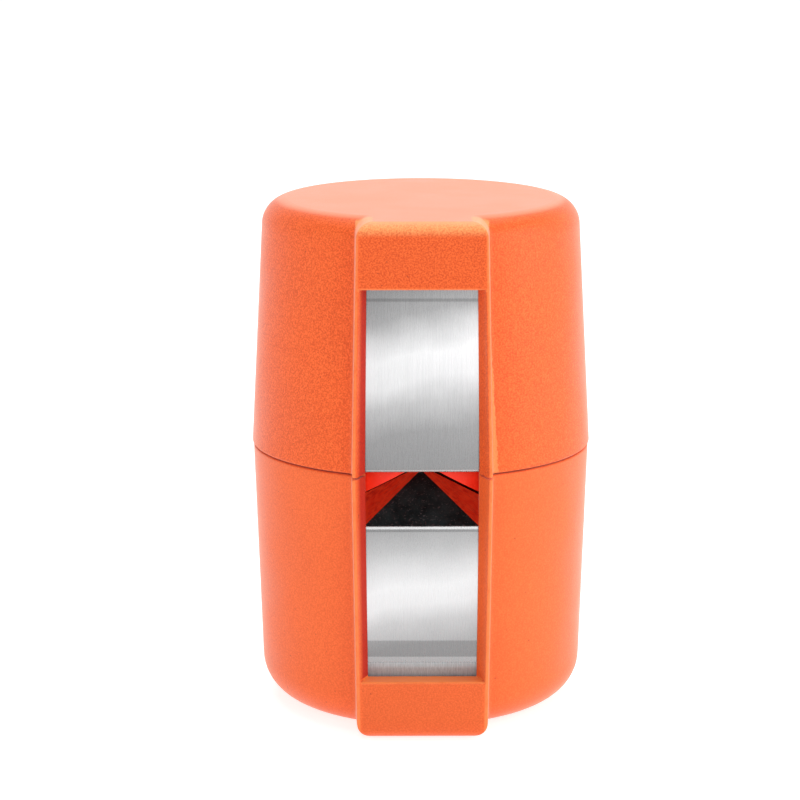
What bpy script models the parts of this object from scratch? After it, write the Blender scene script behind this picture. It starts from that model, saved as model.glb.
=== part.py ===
"""Barrel reamer for pipe ends.

Two cup-shaped plastic halves meet at a parting plane near mid height. A flat-fronted rib
runs down the front of both. A steel shutter slides in the rib of each half, over the chip
window. Inside, the lower half holds a four-sided point with two blades for the bore of a
pipe, and the upper half holds a funnel with four blades for its outer edge.

Origin: centre of the bottom face. +Z runs up the barrel, and the rib faces -Y.
"""

import math

import bmesh
import bpy
from mathutils import Matrix, Vector

MM = 0.001

# Barrel
HEIGHT = 85.0 * MM
PARTING_Z = 43.75 * MM
SEAM = 0.3 * MM
UPPER_BELLY = 28.15 * MM
LOWER_BELLY = 27.9 * MM
UPPER_END_RADIUS = 26.45 * MM
LOWER_END_RADIUS = 26.65 * MM
UPPER_END_FILLET = 4.3 * MM
LOWER_END_FILLET = 6.6 * MM
SIDE_POWER = 1.3
END_WALL = 3.0 * MM
BORE = 23.0 * MM
MOUTH_BORE = 24.6 * MM
LOWER_MOUTH_DEPTH = 9.0 * MM
UPPER_MOUTH_DEPTH = 8.0 * MM

# Rib down the front, with its chip window
RIB_FRONT = -29.2 * MM
RIB_BACK = -15.0 * MM
UPPER_RIB_END_HALF = 10.1 * MM
LOWER_RIB_END_HALF = 10.5 * MM
RIB_PARTING_HALF = 11.15 * MM
RIB_FLARE = 2.2 * MM
RIB_ROUND = 2.2 * MM
RIM = 0.35 * MM
WINDOW_END_HALF = 8.75 * MM
WINDOW_PARTING_HALF = 9.2 * MM
WINDOW_LOW = 9.6 * MM
WINDOW_HIGH = 74.2 * MM
SLOT_HALF = 10.0 * MM
SLOT_FRONT = -25.95 * MM
SLOT_BACK = -24.55 * MM
SLOT_TOP = 82.4 * MM
THROUGH_LOW = 34.5 * MM
THROUGH_HIGH = 57.0 * MM

# Shutters
SHUTTER_HALF = 9.8 * MM
SHUTTER_THICK = 0.6 * MM
SHUTTER_END_Y = -25.35 * MM
SHUTTER_BOW = 0.5 * MM
SHUTTER_EDGE = 0.2 * MM
LOWER_SHUTTER = (9.9 * MM, 35.0 * MM)
UPPER_SHUTTER = (44.15 * MM, 75.9 * MM)

# Joining ring and its grip ring
RING_OUTER = 24.3 * MM
RING_INNER = 21.6 * MM
RING_LOW = 35.05 * MM
RING_HIGH = 48.45 * MM
GROOVE_RADIUS = 22.4 * MM
GROOVE_LOW = 45.4 * MM
GROOVE_HIGH = 47.4 * MM
GRIP_MAJOR = 23.55 * MM
GRIP_MINOR = 0.85 * MM
NOTCH_HALF = 9.3 * MM
NOTCH_SHOULDER_Z = 40.0 * MM
NOTCH_NECK = (2.5 * MM, 43.9 * MM)
NOTCH_APEX_Z = 44.8 * MM
RING_SCREW_Z = 39.2 * MM
RING_WALL_PILOT = 2.6 * MM

# Point for the bore of a pipe
FLANGE_RADIUS = 22.6 * MM
FLANGE_LOW = 21.75 * MM
FLANGE_HIGH = 27.75 * MM
POINT_TOP_Z = 37.95 * MM
POINT_HALF_X = 14.0 * MM
POINT_HALF_Y = 17.5 * MM
RIDGE_HALF_X = 0.4 * MM
RIDGE_HALF_Y = 3.5 * MM
POINT_BLADE_THICK = 1.2 * MM
POINT_BLADE_LIFT = 0.15 * MM
POINT_BLADE_MARGIN = 0.2 * MM
POINT_SCREW_UP_SLOPE = 2.4 * MM
BLADE_SCREW_HEAD = 1.5 * MM
BLADE_SCREW_SHANK = 0.9 * MM
POST_SPOTS = [(sx * 18.3 * MM, sy * 6.0 * MM) for sx in (-1, 1) for sy in (-1, 1)]
LOWER_POST_RADIUS = 4.2 * MM

# Funnel for the outer edge of a pipe
FUNNEL_LOW = 52.0 * MM
FUNNEL_HIGH = 71.0 * MM
FUNNEL_MOUTH = 21.4 * MM
FUNNEL_THROAT = 4.0 * MM
FUNNEL_BLADE_THICK = 2.0 * MM
FUNNEL_BLADE_RADII = (5.3 * MM, 18.2 * MM)
FUNNEL_BLADE_PROUD = 0.85 * MM
FUNNEL_SCREW_SEAT = 67.0 * MM
FUNNEL_POST_RADIUS = 12.0 * MM
UPPER_POST_RADIUS = 3.0 * MM
CAP_THICK = 1.7 * MM

# Screws and the gap that touching pieces keep
GAP = 0.3 * MM
SCREW_SHANK = 1.2 * MM
SCREW_HEAD = 2.2 * MM
SCREW_HEAD_TALL = 1.7 * MM
SOCKET_RADIUS = 1.2 * MM
SOCKET_DEPTH = 0.9 * MM
SMALL_SHANK = 1.0 * MM
SMALL_HEAD = 1.8 * MM
SMALL_HEAD_TALL = 1.1 * MM

BARREL_STEPS = 48
SCREW_STEPS = 12
SMOOTH_ANGLE = math.radians(35)
PAST = 2.0 * MM


def start():
    """Empty the scene and make one collection for the parts and one for the cutters."""
    for old in list(bpy.data.objects):
        bpy.data.objects.remove(old, do_unlink=True)
    made = []
    for name in ("barrel_reamer", "cutters"):
        collection = bpy.data.collections.new(name)
        bpy.context.scene.collection.children.link(collection)
        made.append(collection)
    return made


PARTS, CUTTERS = start()


def make_material(name, colour, roughness, metallic=0.0):
    material = bpy.data.materials.new(name)
    material.use_nodes = True
    shader = material.node_tree.nodes["Principled BSDF"]
    shader.inputs["Base Color"].default_value = (*colour, 1.0)
    shader.inputs["Roughness"].default_value = roughness
    shader.inputs["Metallic"].default_value = metallic
    return material


ORANGE = ((0.87, 0.13, 0.04), 0.55)
RED = ((0.75, 0.02, 0.01), 0.5)
SPRING_STEEL = ((0.72, 0.72, 0.74), 0.28, 1.0)
BLADE_STEEL = ((0.035, 0.035, 0.04), 0.45, 0.8)
SCREW_STEEL = ((0.6, 0.6, 0.62), 0.3, 1.0)
RUBBER = ((0.02, 0.02, 0.02), 0.7)


def add_object(name, mesh, look=None):
    """Link a mesh as a part with its own material, or as a cutter when it has no look."""
    obj = bpy.data.objects.new(name, mesh)
    if look is None:
        CUTTERS.objects.link(obj)
        obj.hide_render = True
        obj.display_type = "WIRE"
    else:
        PARTS.objects.link(obj)
        mesh.materials.append(make_material(name, *look))
    return obj


def mesh_from(bm, name):
    mesh = bpy.data.meshes.new(name)
    bm.to_mesh(mesh)
    bm.free()
    return mesh


def turned(name, profile, look=None, closed=False, steps=BARREL_STEPS):
    """Turn a profile of (radius, z) points, which runs down its outer side, about Z."""
    bm = bmesh.new()
    verts = [bm.verts.new((radius, 0.0, z)) for radius, z in profile]
    for first, second in zip(verts, verts[1:]):
        bm.edges.new((first, second))
    if closed:
        bm.edges.new((verts[-1], verts[0]))
    obj = add_object(name, mesh_from(bm, name), look)
    screw = obj.modifiers.new("turn", "SCREW")
    screw.steps = screw.render_steps = steps
    screw.use_merge_vertices = True
    screw.merge_threshold = 0.00001
    return obj


def box(name, low, high, look=None):
    bm = bmesh.new()
    bmesh.ops.create_cube(bm, size=1.0)
    low, high = Vector(low), Vector(high)
    bmesh.ops.scale(bm, vec=high - low, verts=bm.verts)
    bmesh.ops.translate(bm, vec=(low + high) / 2, verts=bm.verts)
    return add_object(name, mesh_from(bm, name), look)


def rod(name, radius, low, high, spot=(0.0, 0.0), steps=SCREW_STEPS):
    """A plain round cutter or post along Z."""
    bm = bmesh.new()
    middle = Matrix.Translation((*spot, (low + high) / 2))
    bmesh.ops.create_cone(bm, cap_ends=True, segments=steps, radius1=radius,
                          radius2=radius, depth=high - low, matrix=middle)
    return add_object(name, mesh_from(bm, name))


def flat_outline(name, points, half_depth, look=None):
    """A flat outline in XZ, extruded half_depth each way along Y, as a closed mesh."""
    curve = bpy.data.curves.new(name, "CURVE")
    curve.dimensions = "2D"
    curve.fill_mode = "BOTH"
    curve.extrude = half_depth
    spline = curve.splines.new("POLY")
    spline.points.add(len(points) - 1)
    for point, (x, z) in zip(spline.points, points):
        point.co = (x, z, 0.0, 1.0)
    spline.use_cyclic_u = True
    guide = bpy.data.objects.new(name + "_outline", curve)
    CUTTERS.objects.link(guide)
    depsgraph = bpy.context.evaluated_depsgraph_get()
    mesh = bpy.data.meshes.new_from_object(guide.evaluated_get(depsgraph))
    bpy.data.objects.remove(guide, do_unlink=True)
    bm = bmesh.new()
    bm.from_mesh(mesh)
    bmesh.ops.remove_doubles(bm, verts=bm.verts, dist=0.00001)
    bmesh.ops.rotate(bm, verts=bm.verts, matrix=Matrix.Rotation(math.pi / 2, 3, "X"))
    bmesh.ops.recalc_face_normals(bm, faces=bm.faces)
    bm.to_mesh(mesh)
    bm.free()
    return add_object(name, mesh, look)


def boolean(obj, tool, operation="DIFFERENCE"):
    modifier = obj.modifiers.new(tool.name, "BOOLEAN")
    modifier.operation = operation
    modifier.solver = "EXACT"
    modifier.object = tool


def half_length(upper):
    """From a half's end face to the middle of the seam."""
    return HEIGHT - PARTING_Z if upper else PARTING_Z


def placed(points, upper):
    """(radius, distance from the end face) points as (radius, z), running down outside."""
    if upper:
        return [(radius, HEIGHT - distance) for radius, distance in points]
    return [(radius, distance) for radius, distance in reversed(points)]


def barrel_profile(upper):
    """Outer profile of one half, from the axis at its end face to the axis at the seam."""
    belly = UPPER_BELLY if upper else LOWER_BELLY
    end_radius = UPPER_END_RADIUS if upper else LOWER_END_RADIUS
    fillet = UPPER_END_FILLET if upper else LOWER_END_FILLET
    seam = half_length(upper) - SEAM / 2
    points = [(0.0, 0.0)]
    for step in range(5):
        angle = math.pi / 2 * step / 4
        points.append((end_radius - fillet + fillet * math.sin(angle),
                       fillet - fillet * math.cos(angle)))
    for step in range(1, 6):
        drop = step / 5
        radius = end_radius + (belly - end_radius) * (1 - (1 - drop) ** SIDE_POWER)
        points.append((radius, fillet + (seam - fillet) * drop))
    points.append((0.0, seam))
    return placed(points, upper)


def bore_profile(upper):
    """The hollow of one half, from the axis inside its end wall to past the seam."""
    length = half_length(upper)
    shelf = length - (UPPER_MOUTH_DEPTH if upper else LOWER_MOUTH_DEPTH)
    chamfer = 1.5 * MM
    points = [(0.0, END_WALL), (BORE - chamfer, END_WALL), (BORE, END_WALL + chamfer),
              (BORE, shelf), (MOUTH_BORE, shelf), (MOUTH_BORE, length + PAST),
              (0.0, length + PAST)]
    return placed(points, upper)


def closeness(z):
    """1 at the parting plane, falling to 0 at either end face."""
    return 1 - abs(z - PARTING_Z) / half_length(z > PARTING_Z)


def rib_half(z):
    """Half the rib's width at its front, which widens from each end to the parting plane."""
    end_half = UPPER_RIB_END_HALF if z > PARTING_Z else LOWER_RIB_END_HALF
    return end_half + (RIB_PARTING_HALF - end_half) * closeness(z)


def window_half(y, z):
    """Half the chip window's width: its side walls slant from the shutter to the rim."""
    inside = WINDOW_END_HALF + (WINDOW_PARTING_HALF - WINDOW_END_HALF) * closeness(z)
    slant = (rib_half(z) - RIM - inside) / (SLOT_FRONT - RIB_FRONT)
    return inside + slant * (SLOT_FRONT - y)


def slanted_box(name, y_front, y_back, z_low, z_high, half_width):
    """A box whose half width is half_width(y, z) at each corner."""
    tool = box(name, (-1, y_front, z_low), (1, y_back, z_high))
    for vertex in tool.data.vertices:
        side = 1 if vertex.co.x > 0 else -1
        vertex.co.x = side * half_width(vertex.co.y, vertex.co.z)
    return tool


def rib_solid(name, end_z):
    """The rib of one half, with its end edges rounded over."""
    seam_z = PARTING_Z + math.copysign(SEAM / 2, end_z - PARTING_Z)

    def half(y, z):
        depth = (y - RIB_FRONT) / (RIB_BACK - RIB_FRONT)
        return rib_half(z) + RIB_FLARE * depth

    tool = slanted_box(name, RIB_FRONT, RIB_BACK, min(end_z, seam_z), max(end_z, seam_z), half)
    bm = bmesh.new()
    bm.from_mesh(tool.data)
    rounded = []
    for edge in bm.edges:
        at_end = all(abs(v.co.z - end_z) < 1e-6 for v in edge.verts)
        at_back = all(abs(v.co.y - RIB_BACK) < 1e-6 for v in edge.verts)
        if at_end and not at_back:
            rounded.append(edge)
    bmesh.ops.bevel(bm, geom=rounded, offset=RIB_ROUND, segments=3, profile=0.5,
                    affect="EDGES")
    bm.to_mesh(tool.data)
    bm.free()
    return tool


def shell(name, upper):
    """One cup-shaped half with its rib, hollow, chip window and shutter slot."""
    obj = turned(name, barrel_profile(upper), ORANGE)
    boolean(obj, rib_solid(name + "_rib", HEIGHT if upper else 0.0), "UNION")
    boolean(obj, turned(name + "_hollow", bore_profile(upper)))
    if upper:
        window = (PARTING_Z - PAST, WINDOW_HIGH)
        slot = (PARTING_Z - PAST, SLOT_TOP)
        through = (PARTING_Z - PAST, THROUGH_HIGH)
    else:
        window = slot = (WINDOW_LOW, PARTING_Z + PAST)
        through = (THROUGH_LOW, PARTING_Z + PAST)
    overlap = GAP / 2
    boolean(obj, slanted_box(name + "_window", RIB_FRONT - PAST, SLOT_FRONT + overlap,
                             *window, window_half))
    boolean(obj, box(name + "_slot", (-SLOT_HALF, SLOT_FRONT, slot[0]),
                     (SLOT_HALF, SLOT_BACK, slot[1])))
    boolean(obj, box(name + "_through", (-WINDOW_PARTING_HALF, SLOT_BACK - overlap, through[0]),
                     (WINDOW_PARTING_HALF, -BORE + 3 * PAST, through[1])))
    return obj


def lower_shell():
    obj = shell("lower_shell", upper=False)
    for number, spot in enumerate(POST_SPOTS):
        post = rod(f"lower_post_{number}", LOWER_POST_RADIUS, END_WALL / 2,
                   FLANGE_LOW - GAP, spot)
        boolean(obj, post, "UNION")
        pilot = rod(f"lower_pilot_{number}", SCREW_SHANK + GAP, FLANGE_LOW - 10 * MM,
                    FLANGE_LOW + PAST, spot)
        boolean(obj, pilot)
    for side in (-1, 1):
        pilot = radial_rod(f"wall_pilot_{side}", SMALL_SHANK + GAP, RING_OUTER - PAST,
                           RING_OUTER + RING_WALL_PILOT, side)
        boolean(obj, pilot)


def upper_shell():
    obj = shell("upper_shell", upper=True)
    for number, spot in enumerate(funnel_spots()):
        base = FUNNEL_HIGH + CAP_THICK + 2 * GAP
        post = rod(f"upper_post_{number}", UPPER_POST_RADIUS, base, HEIGHT - END_WALL / 2, spot)
        boolean(obj, post, "UNION")
        pilot = rod(f"upper_pilot_{number}", SCREW_SHANK + GAP, base - PAST, base + 7 * MM, spot)
        boolean(obj, pilot)


def shutter(name, span):
    """A thin steel plate, gently bowed outward along its length, with its origin mid length."""
    low, high = span
    middle, half = (low + high) / 2, (high - low) / 2
    bm = bmesh.new()
    bmesh.ops.create_cube(bm, size=1.0)
    bmesh.ops.scale(bm, vec=(2 * SHUTTER_HALF, SHUTTER_THICK, high - low), verts=bm.verts)
    uprights = [e for e in bm.edges if abs(e.verts[0].co.z - e.verts[1].co.z) > half]
    bmesh.ops.subdivide_edges(bm, edges=uprights, cuts=7, use_grid_fill=True)
    ends = [e for e in bm.edges
            if all(abs(abs(v.co.z) - half) < 1e-6 and v.co.y < 0 for v in e.verts)]
    bmesh.ops.bevel(bm, geom=ends, offset=SHUTTER_EDGE, segments=1, affect="EDGES")
    for vertex in bm.verts:
        bow = SHUTTER_BOW * (1 - (vertex.co.z / half) ** 2)
        vertex.co.y += SHUTTER_THICK / 2 - bow
    obj = add_object(name, mesh_from(bm, name), SPRING_STEEL)
    obj.location = (0.0, SHUTTER_END_Y, middle)


def radial_rod(name, radius, near, far, side):
    """A round cutter along X at the ring screws' height, out to one side."""
    tool = rod(name, radius, near, far)
    turn = Matrix.Rotation(side * math.pi / 2, 4, "Y")
    tool.data.transform(Matrix.Translation((0.0, 0.0, RING_SCREW_Z)) @ turn)
    return tool


def joining_ring():
    """The red ring in the lower half's mouth, whose spigot enters the upper half."""
    chamfer = 0.8 * MM
    profile = [(RING_INNER, RING_HIGH), (RING_OUTER - chamfer, RING_HIGH),
               (RING_OUTER, RING_HIGH - chamfer), (RING_OUTER, GROOVE_HIGH),
               (GROOVE_RADIUS, GROOVE_HIGH), (GROOVE_RADIUS, GROOVE_LOW),
               (RING_OUTER, GROOVE_LOW), (RING_OUTER, RING_LOW), (RING_INNER, RING_LOW)]
    obj = turned("joining_ring", profile, RED, closed=True)
    neck_half, neck_z = NOTCH_NECK
    notch = [(-NOTCH_HALF, RING_LOW - PAST), (NOTCH_HALF, RING_LOW - PAST),
             (NOTCH_HALF, NOTCH_SHOULDER_Z), (neck_half, neck_z), (0.0, NOTCH_APEX_Z),
             (-neck_half, neck_z), (-NOTCH_HALF, NOTCH_SHOULDER_Z)]
    tool = flat_outline("ring_notch", notch, 7 * MM)
    tool.data.transform(Matrix.Translation((0.0, RIB_FRONT + 7 * MM, 0.0)))
    boolean(obj, tool)
    for side in (-1, 1):
        hole = radial_rod(f"ring_hole_{side}", SMALL_SHANK + GAP, RING_INNER - PAST,
                          RING_OUTER + PAST, side)
        seat = radial_rod(f"ring_seat_{side}", SMALL_HEAD + GAP, RING_INNER - PAST,
                          RING_INNER + SMALL_HEAD_TALL + GAP, side)
        boolean(obj, hole)
        boolean(obj, seat)


def grip_o_ring():
    """The rubber ring in the spigot's groove, which grips the upper half."""
    profile = []
    for step in range(8):
        angle = math.pi / 2 - 2 * math.pi * step / 8
        profile.append((GRIP_MAJOR + GRIP_MINOR * math.cos(angle),
                        (GROOVE_LOW + GROOVE_HIGH) / 2 + GRIP_MINOR * math.sin(angle)))
    turned("grip_o_ring", profile, RUBBER, closed=True)


def point_slope():
    """Length down the front face of the point, and its angle from level."""
    run = POINT_HALF_Y - RIDGE_HALF_Y
    drop = POINT_TOP_Z - FLANGE_HIGH
    return math.hypot(run, drop), math.atan2(drop, run)


def face_frame(side):
    """A frame at the foot of the point's front (-1) or rear (1) face: X across, Y up it."""
    _, angle = point_slope()
    foot = Matrix.Translation((0.0, -POINT_HALF_Y, FLANGE_HIGH))
    frame = foot @ Matrix.Rotation(angle, 4, "X")
    if side > 0:
        frame = Matrix.Rotation(math.pi, 4, "Z") @ frame
    return frame


def point_carrier():
    """The red four-sided point on its round flange."""
    obj = turned("point_carrier", [(0.0, FLANGE_HIGH), (FLANGE_RADIUS, FLANGE_HIGH),
                                   (FLANGE_RADIUS, FLANGE_LOW), (0.0, FLANGE_LOW)], RED)
    block = box("point_block", (-POINT_HALF_X, -POINT_HALF_Y, FLANGE_HIGH - PAST),
                (POINT_HALF_X, POINT_HALF_Y, POINT_TOP_Z))
    spread = (POINT_TOP_Z - FLANGE_HIGH + PAST) / (POINT_TOP_Z - FLANGE_HIGH)
    for vertex in block.data.vertices:
        if vertex.co.z > FLANGE_HIGH:
            vertex.co.x *= RIDGE_HALF_X / POINT_HALF_X
            vertex.co.y *= RIDGE_HALF_Y / POINT_HALF_Y
        else:
            flare_x = (POINT_HALF_X - RIDGE_HALF_X) * spread + RIDGE_HALF_X
            flare_y = (POINT_HALF_Y - RIDGE_HALF_Y) * spread + RIDGE_HALF_Y
            vertex.co.x *= flare_x / POINT_HALF_X
            vertex.co.y *= flare_y / POINT_HALF_Y
    boolean(obj, block, "UNION")
    outside = FLANGE_RADIUS + 3 * PAST
    boolean(obj, turned("flange_rim", [(outside, POINT_TOP_Z), (outside, FLANGE_LOW - PAST),
                                       (FLANGE_RADIUS, FLANGE_LOW - PAST),
                                       (FLANGE_RADIUS, POINT_TOP_Z)], closed=True))
    for number, spot in enumerate(POST_SPOTS):
        boolean(obj, rod(f"flange_hole_{number}", SCREW_SHANK + GAP, FLANGE_LOW - PAST,
                         FLANGE_HIGH + PAST, spot))
        boolean(obj, rod(f"flange_seat_{number}", SCREW_HEAD + GAP,
                         FLANGE_HIGH - SCREW_HEAD_TALL, FLANGE_HIGH + PAST, spot))
    for side in (-1, 1):
        pilot = rod(f"point_pilot_{side}", BLADE_SCREW_SHANK + GAP, -5 * MM, PAST,
                    (0.0, POINT_SCREW_UP_SLOPE))
        pilot.data.transform(face_frame(side))
        boolean(obj, pilot)


def point_blade(name, side):
    """A black steel blade that covers one end face of the point, edge to edge."""
    length, _ = point_slope()
    low = POINT_BLADE_LIFT
    obj = box(name, (-1, POINT_BLADE_MARGIN, low), (1, length, low + POINT_BLADE_THICK),
              BLADE_STEEL)
    for vertex in obj.data.vertices:
        edge = 1 if vertex.co.x > 0 else -1
        rise = vertex.co.y / length
        half = POINT_HALF_X + (RIDGE_HALF_X - POINT_HALF_X) * rise
        vertex.co.x = edge * (half - POINT_BLADE_MARGIN * (1 - rise))
    obj.data.transform(face_frame(side))
    seat = rod(name + "_hole", BLADE_SCREW_HEAD + GAP, -PAST, 2 * PAST,
               (0.0, POINT_SCREW_UP_SLOPE))
    seat.data.transform(face_frame(side))
    boolean(obj, seat)


def socket_screw(name, head, head_tall, shank, length, placement, socket_steps=6):
    """A socket-head screw: head up along Z above its seat at z = 0, shank below."""
    profile = [(0.0, head_tall), (head * 0.85, head_tall), (head, head_tall * 0.8),
               (head, 0.0), (shank, 0.0), (shank, -length), (0.0, -length)]
    obj = turned(name, profile, SCREW_STEEL, steps=SCREW_STEPS)
    obj.matrix_world = placement
    socket = rod(name + "_socket", min(SOCKET_RADIUS, head * 0.55), head_tall - SOCKET_DEPTH,
                 head_tall + PAST, steps=socket_steps)
    socket.matrix_world = placement
    boolean(obj, socket)


def point_screws():
    for number, (x, y) in enumerate(POST_SPOTS, start=1):
        seat = Matrix.Translation((x, y, FLANGE_HIGH - SCREW_HEAD_TALL + GAP / 2))
        socket_screw(f"point_screw_{number}", SCREW_HEAD, SCREW_HEAD_TALL, SCREW_SHANK,
                     12.5 * MM, seat)
    for name, side in (("blade_screw_front", -1), ("blade_screw_rear", 1)):
        lift = Matrix.Translation((0.0, POINT_SCREW_UP_SLOPE, GAP / 2))
        socket_screw(name, BLADE_SCREW_HEAD, SMALL_HEAD_TALL, BLADE_SCREW_SHANK, 4.5 * MM,
                     face_frame(side) @ lift)


def ring_screws():
    for name, side in (("ring_screw_left", -1), ("ring_screw_right", 1)):
        seat = RING_INNER + SMALL_HEAD_TALL + GAP / 2
        placement = (Matrix.Translation((side * seat, 0.0, RING_SCREW_Z))
                     @ Matrix.Rotation(-side * math.pi / 2, 4, "Y"))
        socket_screw(name, SMALL_HEAD, SMALL_HEAD_TALL, SMALL_SHANK, 3.6 * MM, placement)


def funnel_spots():
    """Where the funnel's screws stand, midway between its blades."""
    reach = FUNNEL_POST_RADIUS * math.sqrt(0.5)
    return [(sx * reach, sy * reach) for sx in (-1, 1) for sy in (-1, 1)]


def funnel_carrier():
    """The red block with a right-angled funnel and four radial blade slots."""
    throat_z = FUNNEL_LOW + FUNNEL_MOUTH - FUNNEL_THROAT
    profile = [(FUNNEL_THROAT, FUNNEL_HIGH), (FLANGE_RADIUS, FUNNEL_HIGH),
               (FLANGE_RADIUS, FUNNEL_LOW), (FUNNEL_MOUTH, FUNNEL_LOW),
               (FUNNEL_THROAT, throat_z)]
    obj = turned("funnel_carrier", profile, RED, closed=True)
    near, far = FUNNEL_BLADE_RADII
    for quarter in range(4):
        slot = box(f"funnel_slot_{quarter}",
                   (near - GAP, -FUNNEL_BLADE_THICK / 2 - GAP / 2, FUNNEL_LOW - PAST),
                   (far + GAP, FUNNEL_BLADE_THICK / 2 + GAP / 2, FUNNEL_HIGH + PAST))
        slot.data.transform(Matrix.Rotation(quarter * math.pi / 2, 4, "Z"))
        boolean(obj, slot)
    for number, spot in enumerate(funnel_spots()):
        boolean(obj, rod(f"funnel_hole_{number}", SCREW_SHANK + GAP, FUNNEL_LOW - PAST,
                         FUNNEL_HIGH + PAST, spot))
        boolean(obj, rod(f"funnel_seat_{number}", SCREW_HEAD + GAP, FUNNEL_LOW - PAST,
                         FUNNEL_SCREW_SEAT, spot))


def funnel_blades():
    near, far = FUNNEL_BLADE_RADII
    edge = FUNNEL_LOW + FUNNEL_MOUTH - FUNNEL_BLADE_PROUD
    top = FUNNEL_HIGH - GAP
    outline = [(near, edge - near), (far, edge - far), (far, top), (near, top)]
    for quarter in range(4):
        blade = flat_outline(f"funnel_blade_{quarter + 1}", outline, FUNNEL_BLADE_THICK / 2,
                             BLADE_STEEL)
        blade.data.transform(Matrix.Rotation(quarter * math.pi / 2, 4, "Z"))


def funnel_cap():
    """The disc that holds the funnel's blades down in their slots."""
    low = FUNNEL_HIGH + GAP
    obj = turned("funnel_cap", [(0.0, low + CAP_THICK), (FLANGE_RADIUS, low + CAP_THICK),
                                (FLANGE_RADIUS, low), (0.0, low)], RED)
    for number, spot in enumerate(funnel_spots()):
        boolean(obj, rod(f"cap_hole_{number}", SCREW_SHANK + GAP, low - PAST,
                         low + CAP_THICK + PAST, spot))


def funnel_screws():
    for number, (x, y) in enumerate(funnel_spots(), start=1):
        placement = (Matrix.Translation((x, y, FUNNEL_SCREW_SEAT - GAP / 2))
                     @ Matrix.Rotation(math.pi, 4, "X"))
        socket_screw(f"funnel_screw_{number}", SCREW_HEAD, SCREW_HEAD_TALL, SCREW_SHANK,
                     12.0 * MM, placement)


def finish_pieces():
    """Apply each piece's modifiers, then shade it smooth but for its sharp edges."""
    bpy.context.view_layer.update()
    depsgraph = bpy.context.evaluated_depsgraph_get()
    finished = {obj: bpy.data.meshes.new_from_object(obj.evaluated_get(depsgraph))
                for obj in PARTS.objects}
    for obj, mesh in finished.items():
        obj.modifiers.clear()
        obj.data = mesh
        mesh.shade_smooth()
        mesh.set_sharp_from_angle(angle=SMOOTH_ANGLE)


def hold_on_axis(name, z, held):
    """Parent pieces to an empty on the barrel's axis, about which they turn and slide."""
    empty = bpy.data.objects.new(name, None)
    empty.location = (0.0, 0.0, z)
    PARTS.objects.link(empty)
    for obj in held:
        obj.parent = empty
        obj.matrix_parent_inverse = Matrix.Translation((0.0, 0.0, -z))


lower_shell()
upper_shell()
shutter("lower_shutter", LOWER_SHUTTER)
shutter("upper_shutter", UPPER_SHUTTER)
joining_ring()
grip_o_ring()
ring_screws()
point_carrier()
point_blade("point_blade_front", -1)
point_blade("point_blade_rear", 1)
point_screws()
funnel_carrier()
funnel_blades()
funnel_cap()
funnel_screws()
finish_pieces()
hold_on_axis("grip_ring", (GROOVE_LOW + GROOVE_HIGH) / 2, [bpy.data.objects["grip_o_ring"]])
hold_on_axis("upper_half", PARTING_Z,
             [obj for obj in PARTS.objects if obj.name.startswith(("upper_", "funnel_"))])
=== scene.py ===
"""Looks for the barrel reamer: fine shells, steel, blades and fasteners around the CAD frame."""

import math

import bmesh
import bpy
from mathutils import Matrix, Vector


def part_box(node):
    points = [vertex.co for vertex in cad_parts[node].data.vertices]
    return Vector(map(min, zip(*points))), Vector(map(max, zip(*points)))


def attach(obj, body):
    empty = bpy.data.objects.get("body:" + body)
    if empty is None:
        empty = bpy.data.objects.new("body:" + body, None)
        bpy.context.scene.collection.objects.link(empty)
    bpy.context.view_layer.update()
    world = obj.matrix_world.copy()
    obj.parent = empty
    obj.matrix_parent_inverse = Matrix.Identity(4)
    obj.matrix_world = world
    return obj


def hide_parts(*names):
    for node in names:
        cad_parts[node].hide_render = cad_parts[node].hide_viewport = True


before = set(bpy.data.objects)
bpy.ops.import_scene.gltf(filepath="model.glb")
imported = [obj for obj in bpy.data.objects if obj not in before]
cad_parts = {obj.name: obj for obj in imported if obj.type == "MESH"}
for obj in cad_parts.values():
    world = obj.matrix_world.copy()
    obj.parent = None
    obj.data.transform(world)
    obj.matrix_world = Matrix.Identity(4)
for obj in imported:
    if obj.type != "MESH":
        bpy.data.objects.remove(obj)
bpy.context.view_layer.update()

MM = 0.001

# From the frame
SHELL_LOW, SHELL_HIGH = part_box("upper_shell")
LOWER_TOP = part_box("lower_shell")[1]
HEIGHT = SHELL_HIGH.z
PARTING_Z = (SHELL_LOW.z + LOWER_TOP.z) / 2
SEAM = SHELL_LOW.z - LOWER_TOP.z
HALF_LENGTH = {"upper_shell": HEIGHT - PARTING_Z, "lower_shell": PARTING_Z}
RIB_FRONT = SHELL_LOW.y
RING_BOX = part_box("joining_ring")
POINT_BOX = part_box("point_carrier")
FUNNEL_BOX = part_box("funnel_carrier")
CAP_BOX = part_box("funnel_cap")
GRIP_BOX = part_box("grip_o_ring")

# Barrel and rib
GAP = 0.3 * MM
PAST = 2.0 * MM
FLAT_STEP = 0.3 * MM
BELLY = {"upper_shell": SHELL_HIGH.x + 0.25 * MM, "lower_shell": LOWER_TOP.x + 0.3 * MM}
END_RADIUS = {"upper_shell": 26.45 * MM, "lower_shell": 26.95 * MM}
END_FILLET = {"upper_shell": 4.3 * MM, "lower_shell": 7.0 * MM}
END_WALL = 3.0 * MM
BORE = 23.0 * MM
MOUTH_BORE = 24.6 * MM
MOUTH_DEPTH = {"upper_shell": 8.0 * MM, "lower_shell": 9.0 * MM}
SEAM_ROUND = 0.28 * MM
RIB_HALF_END = {"upper_shell": 10.4 * MM, "lower_shell": 10.6 * MM}
RIB_HALF_PARTING = 11.25 * MM
RIB_FLARE = 0.05
RIB_ROUND = {"upper_shell": 2.4 * MM, "lower_shell": 2.8 * MM}
RIB_ROOT = 0.7 * MM
RIM_OUTER = 0.35 * MM
RIM_INNER = 0.15 * MM
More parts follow.
